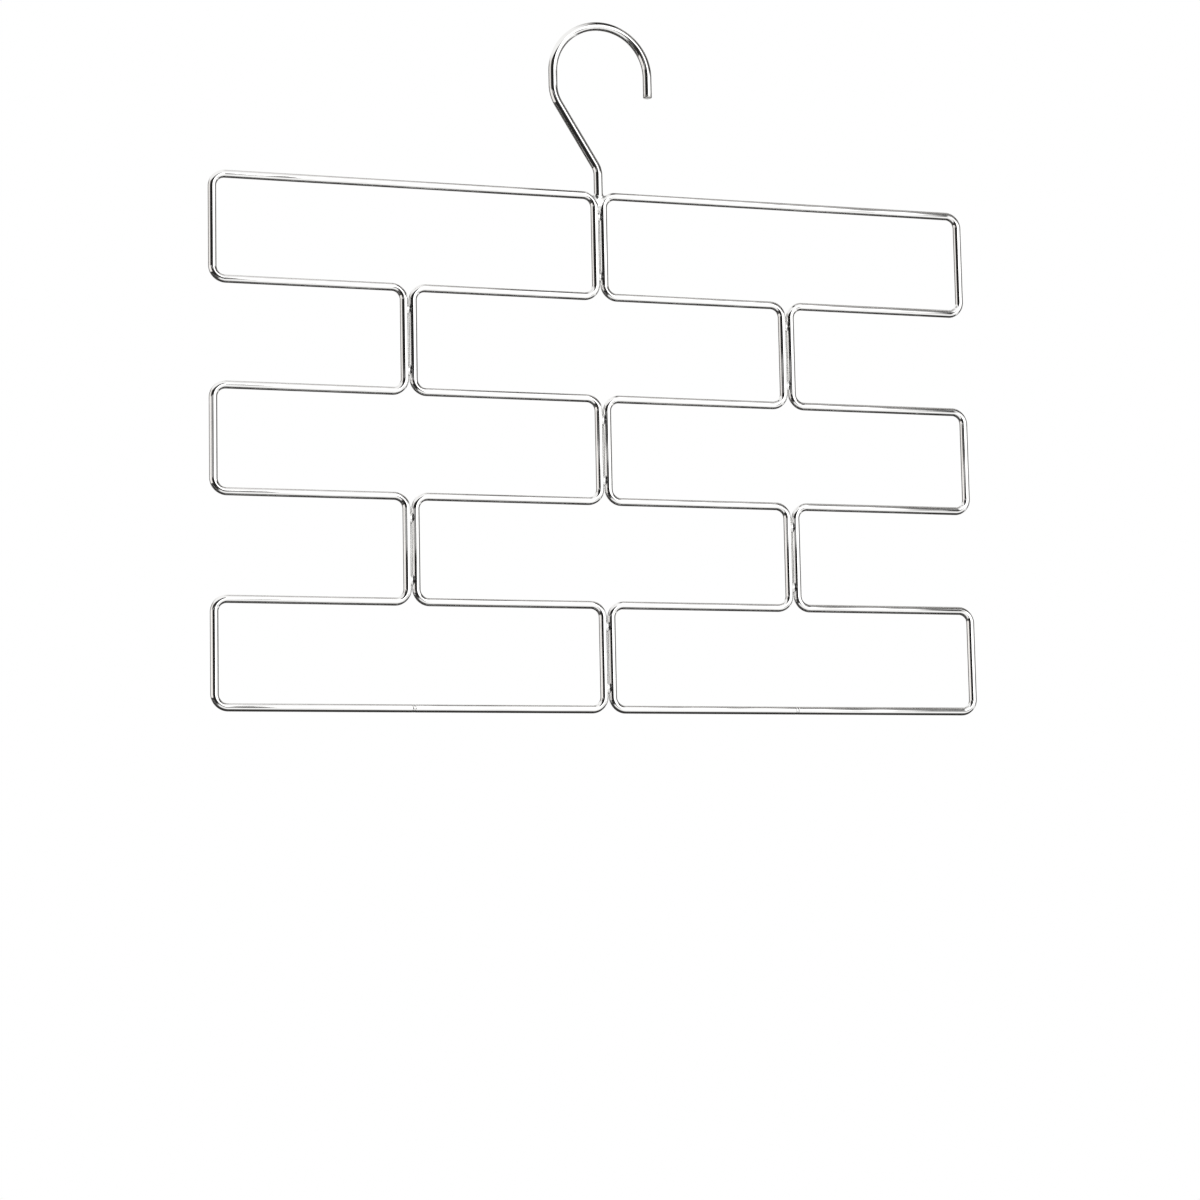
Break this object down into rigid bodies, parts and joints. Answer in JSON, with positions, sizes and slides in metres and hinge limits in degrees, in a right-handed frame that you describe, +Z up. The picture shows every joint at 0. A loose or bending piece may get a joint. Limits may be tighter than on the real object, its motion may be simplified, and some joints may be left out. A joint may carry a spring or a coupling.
{
  "type": "legging hanger",
  "caption": "Flat chrome wire hanger whose rails stack in rows like brickwork, for folded leggings, with a welded hook for a closet rod.",
  "frame": {"origin": "the saddle: the inside of the hook's bow at its top, where a rod bears", "axes": "+X to the viewer's right along the rails, the way the hook opens; +Y away from the viewer, across the flat frame; +Z up"},
  "size_m": [0.3882, 0.0044, 0.3444],
  "materials": {
    "frame_wire": "bright chrome plate on drawn steel wire",
    "hook_wire": "bright chrome plate on drawn steel wire",
    "weld": "chrome plate over dressed weld metal, a little duller than the wire"
  },
  "bodies": {
    "root": {"hook": "hook_wire", "left_loop": "frame_wire", "right_loop": "frame_wire", "hook_weld": "weld", "left_closing_weld": "weld", "right_closing_weld": "weld", "centre_weld_1_upper": "weld", "centre_weld_1_lower": "weld", "left_neck_weld_2_upper": "weld", "left_neck_weld_2_lower": "weld", "right_neck_weld_2_upper": "weld", "right_neck_weld_2_lower": "weld", "centre_weld_3_upper": "weld", "centre_weld_3_lower": "weld", "left_neck_weld_4_upper": "weld", "left_neck_weld_4_lower": "weld", "right_neck_weld_4_upper": "weld", "right_neck_weld_4_lower": "weld", "centre_weld_5_upper": "weld", "centre_weld_5_lower": "weld"}
  },
  "joints": []
}
